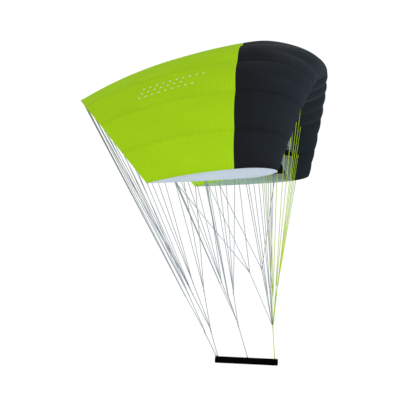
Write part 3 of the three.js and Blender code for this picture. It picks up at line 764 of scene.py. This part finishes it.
profile = [(0.0, -BAR_LENGTH / 2)]
for end in (-1, 1):
    turns = [math.pi / 2 * i / BAR_EDGE_STEPS for i in range(BAR_EDGE_STEPS + 1)]
    for turn in turns if end < 0 else turns[::-1]:
        out = BAR_RADIUS - BAR_EDGE * (1 - math.sin(turn))
        profile.append((out, end * (BAR_LENGTH / 2 - BAR_EDGE * (1 - math.cos(turn)))))
    if end < 0:
        for i in range(1, BAR_STEPS):
            profile.append((BAR_RADIUS, (BAR_LENGTH / 2 - BAR_EDGE) * (2 * i / BAR_STEPS - 1)))
profile.append((0.0, BAR_LENGTH / 2))
bar_points = []
for out, along in profile:
    for s in range(BAR_SIDES):
        angle = 2 * math.pi * s / BAR_SIDES
        bar_points.append(Vector((along, out * math.cos(angle), out * math.sin(angle))))
bar_faces = []
for ring in range(len(profile) - 1):
    for s in range(BAR_SIDES):
        after = (s + 1) % BAR_SIDES
        near, far = ring * BAR_SIDES, (ring + 1) * BAR_SIDES
        bar_faces.append((near + s, near + after, far + after, far + s))
bar_mesh = bpy.data.meshes.new("bar_grip")
for point in bar_points:
    x, z = point.x, point.z
    point.x = x * math.cos(BAR_TILT) + z * math.sin(BAR_TILT)
    point.z = -x * math.sin(BAR_TILT) + z * math.cos(BAR_TILT)
bar_mesh.from_pydata(bar_points, [], bar_faces)
bar_mesh.validate()
bar_mesh.polygons.foreach_set("use_smooth", [True] * len(bar_mesh.polygons))
bar = bpy.data.objects.new("bar_grip", bar_mesh)
bpy.context.scene.collection.objects.link(bar)
bar_mesh.materials.append(foam)
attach(bar, "root")
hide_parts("bar")

# Main lines: one thicker braided cord from under each gather to the top of the bar, with a loop at
# its upper end that takes the gathers of both halves. It is whipped below the loop and at the bar.

MAIN_LINE = 0.0047
MAIN_WHIPPING = MAIN_LINE * 0.7
LOOP_WIDTH = 0.007
LOOP_HEIGHT = 0.006
LOOP_STEPS = 20
LOOP_NECK = 0.012  # from the loop's middle to its whipping
FOOT_SUNK = 0.002  # the cord's end in the foam
FOOT_WHIPPING = 0.003  # height of the lower whipping above the foam
# Where each reaches the bar
BAR_TIES = {
    "front": (0.185, "front_main", "lime_line"),
    "middle": (0.008, "middle_main", "grey_line"),
    "tail_inner": (-0.196, "tail_main_inner", "grey_line"),
    "tail_outer": (-0.186, "tail_main_outer", "grey_line"),
}

for name, (x, node, slot) in BAR_TIES.items():
    gather_x, _, gather_z = GATHERS[name]
    shift = SECOND_BEHIND / 2 if name == "front" else 0
    link = Vector((gather_x - shift, 0, gather_z - LOOP_HEIGHT))
    foot = Vector((x, 0, -x * math.tan(BAR_TILT) + BAR_RADIUS / math.cos(BAR_TILT)))
    down = (foot - link).normalized()
    main = Cordage()
    main.sweep([link, link.lerp(foot, 0.5), foot + down * FOOT_SUNK], MAIN_LINE / 2)
    loop = [2 * math.pi * i / LOOP_STEPS for i in range(LOOP_STEPS + 1)]
    main.sweep([link + Vector((0, math.cos(a) * LOOP_WIDTH, math.sin(a) * LOOP_HEIGHT)) for a in loop])
    main.whipping(link + down * LOOP_NECK, down, MAIN_WHIPPING)
    main.whipping(foot - down * FOOT_WHIPPING, down, MAIN_WHIPPING)
    main.make(f"{node}_cord", node, slot)

# Studio: a pale floor below the bar that fades out, a white surround that dims overhead and
# underneath, a wide soft lamp on the wing's right, a bluish one ahead of the nose, and the camera
# level with the lines on the wing's right.

FLOOR_PLACE = (-0.25, 0, -0.62)
FLOOR_RADIUS = 2.5
FLOOR_PLAIN = 1.2  # radius at which it begins to fade
SKY = 1.02  # strength of the surround at eye level
bpy.ops.mesh.primitive_circle_add(
    vertices=96, radius=FLOOR_RADIUS, fill_type="NGON", location=FLOOR_PLACE
)
floor = bpy.context.object
floor.name = "floor"
floor_paint, floor_tree, floor_shader = new_finish("floor")
floor_shader.inputs["Base Color"].default_value = (0.74, 0.73, 0.72, 1)
floor_shader.inputs["Roughness"].default_value = 0.9
floor_way = add_node(floor_tree, "ShaderNodeTexCoord", {}).outputs["Object"]
floor_reach = add_node(floor_tree, "ShaderNodeVectorMath", {0: floor_way}, operation="LENGTH")
floor_fade = ramp(floor_tree, floor_reach.outputs["Value"], (FLOOR_PLAIN, FLOOR_RADIUS), (1.0, 0.0))
floor_tree.links.new(floor_fade, floor_shader.inputs["Alpha"])
floor.data.materials.append(floor_paint)

scene = bpy.context.scene
scene.view_settings.view_transform = "Standard"
scene.world = bpy.data.worlds.new("surround")
scene.world.use_nodes = True
sky_tree = scene.world.node_tree
sky_way = add_node(sky_tree, "ShaderNodeTexCoord", {}).outputs["Generated"]
sky_rise = add_node(sky_tree, "ShaderNodeSeparateXYZ", {0: sky_way}).outputs[2]
sky_low = ramp(sky_tree, sky_rise, (-0.7, -0.1), (0.6, SKY), "LINEAR")
sky_high = ramp(sky_tree, sky_rise, (0.1, 0.9), (SKY, 0.7), "LINEAR")
sky_light = maths(sky_tree, "MINIMUM", sky_low, sky_high)
sky = sky_tree.nodes["Background"]
sky_tree.links.new(sky_light, sky.inputs["Strength"])
sky.inputs["Color"].default_value = (1, 1, 1, 1)


def soft_lamp(name, power, size, place, aim, colour=(1, 1, 1)):
    light = bpy.data.lights.new(name, "AREA")
    light.energy = power
    light.size = size
    light.color = colour
    lamp = bpy.data.objects.new(name, light)
    lamp.location = place
    lamp.rotation_euler = (Vector(aim) - lamp.location).to_track_quat("-Z", "Y").to_euler()
    scene.collection.objects.link(lamp)


soft_lamp("side", 60, 4, (2.5, -6, 2.5), (0, 0, 1.5))
soft_lamp("rim", 650, 3, (6.5, -0.5, 1.7), (0.3, 0, 1.5), (0.6, 0.82, 1))

CAMERA_AIM = Vector((-0.25, 0, 0.99))
CAMERA_AWAY = 18.4
CAMERA_TURN = math.radians(6)
camera_data = bpy.data.cameras.new("camera")
camera_data.lens = 245.5
camera_data.sensor_width = 36
camera_data.clip_end = 100
camera = bpy.data.objects.new("camera", camera_data)
camera_back = Vector((math.sin(CAMERA_TURN), -math.cos(CAMERA_TURN), 0))
camera.location = CAMERA_AIM + camera_back * CAMERA_AWAY
camera.rotation_euler = (-camera_back).to_track_quat("-Z", "Y").to_euler()
scene.collection.objects.link(camera)
scene.camera = camera
